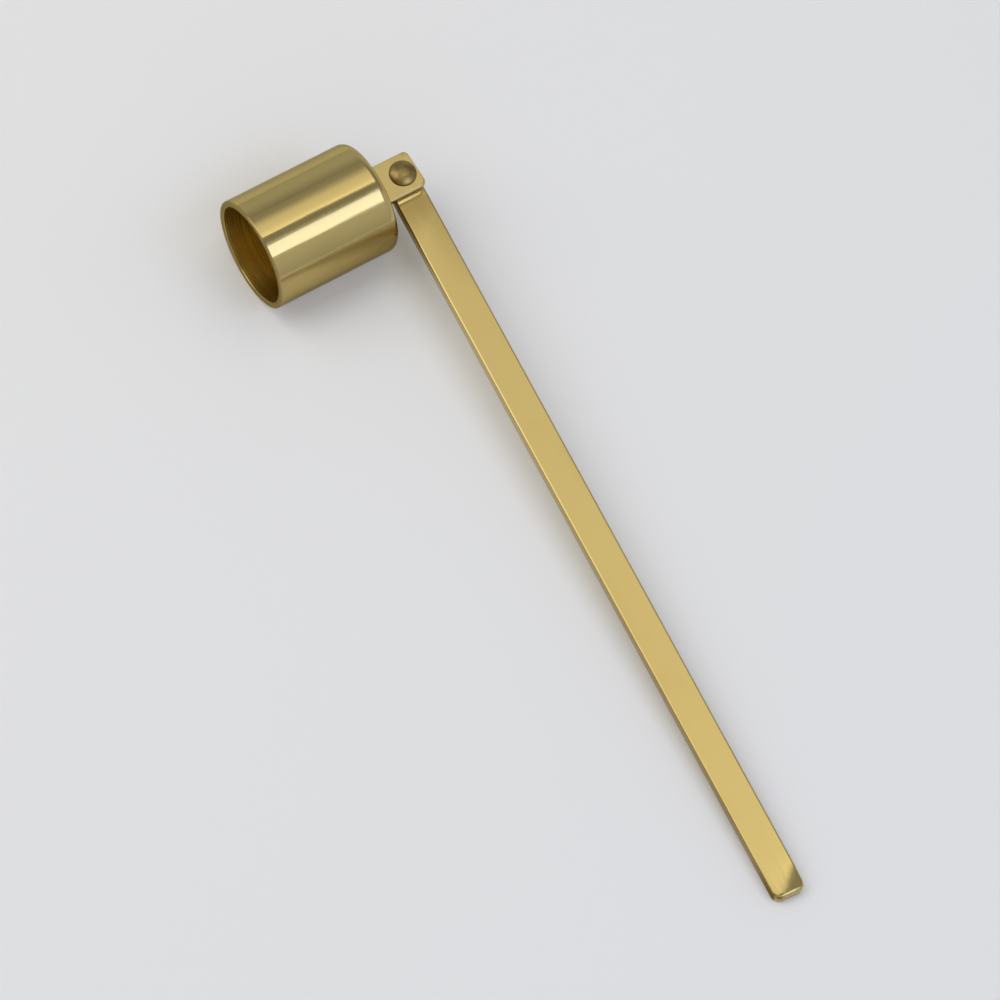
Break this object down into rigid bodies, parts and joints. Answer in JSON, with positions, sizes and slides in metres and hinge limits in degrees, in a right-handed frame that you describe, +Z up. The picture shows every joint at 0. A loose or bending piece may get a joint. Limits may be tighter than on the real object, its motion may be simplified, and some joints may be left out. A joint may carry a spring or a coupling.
{
  "type": "candle snuffer",
  "caption": "Candle snuffer: a turned brass cup, closed at its crown, hinged by a riveted lug to a long flat bar handle, for putting out a candle's flame.",
  "frame": {"origin": "on the table under the middle of the snuffer's box, as it lies on its side on the cup's wall and the tip of the handle", "axes": "+Z up from the table; +X along the cup's axis from the mouth to the crown; +Y from the tip of the handle towards the cup"},
  "size_m": [0.036, 0.1666, 0.022],
  "materials": {
    "cup_brass": "turned and polished",
    "lug_brass": "satin polished",
    "washer_brass": "plain, as pressed",
    "handle_brass": "satin polished",
    "rivet_brass": "polished"
  },
  "bodies": {
    "handle": {"handle_bar": "handle_brass", "pivot_rivet": "rivet_brass", "tail_washer": "washer_brass"},
    "cup": {"snuffer_cup": "cup_brass", "hinge_lug": "lug_brass", "tenon_washer": "washer_brass"}
  },
  "joints": [
    {"name": "cup_hinge", "type": "hinge", "parent": "handle", "child": "cup", "pos_m": [0.01486, 0.07234, 0.011], "axis": [0, 0.055, -0.9985], "range_deg": [-14, 204]}
  ]
}
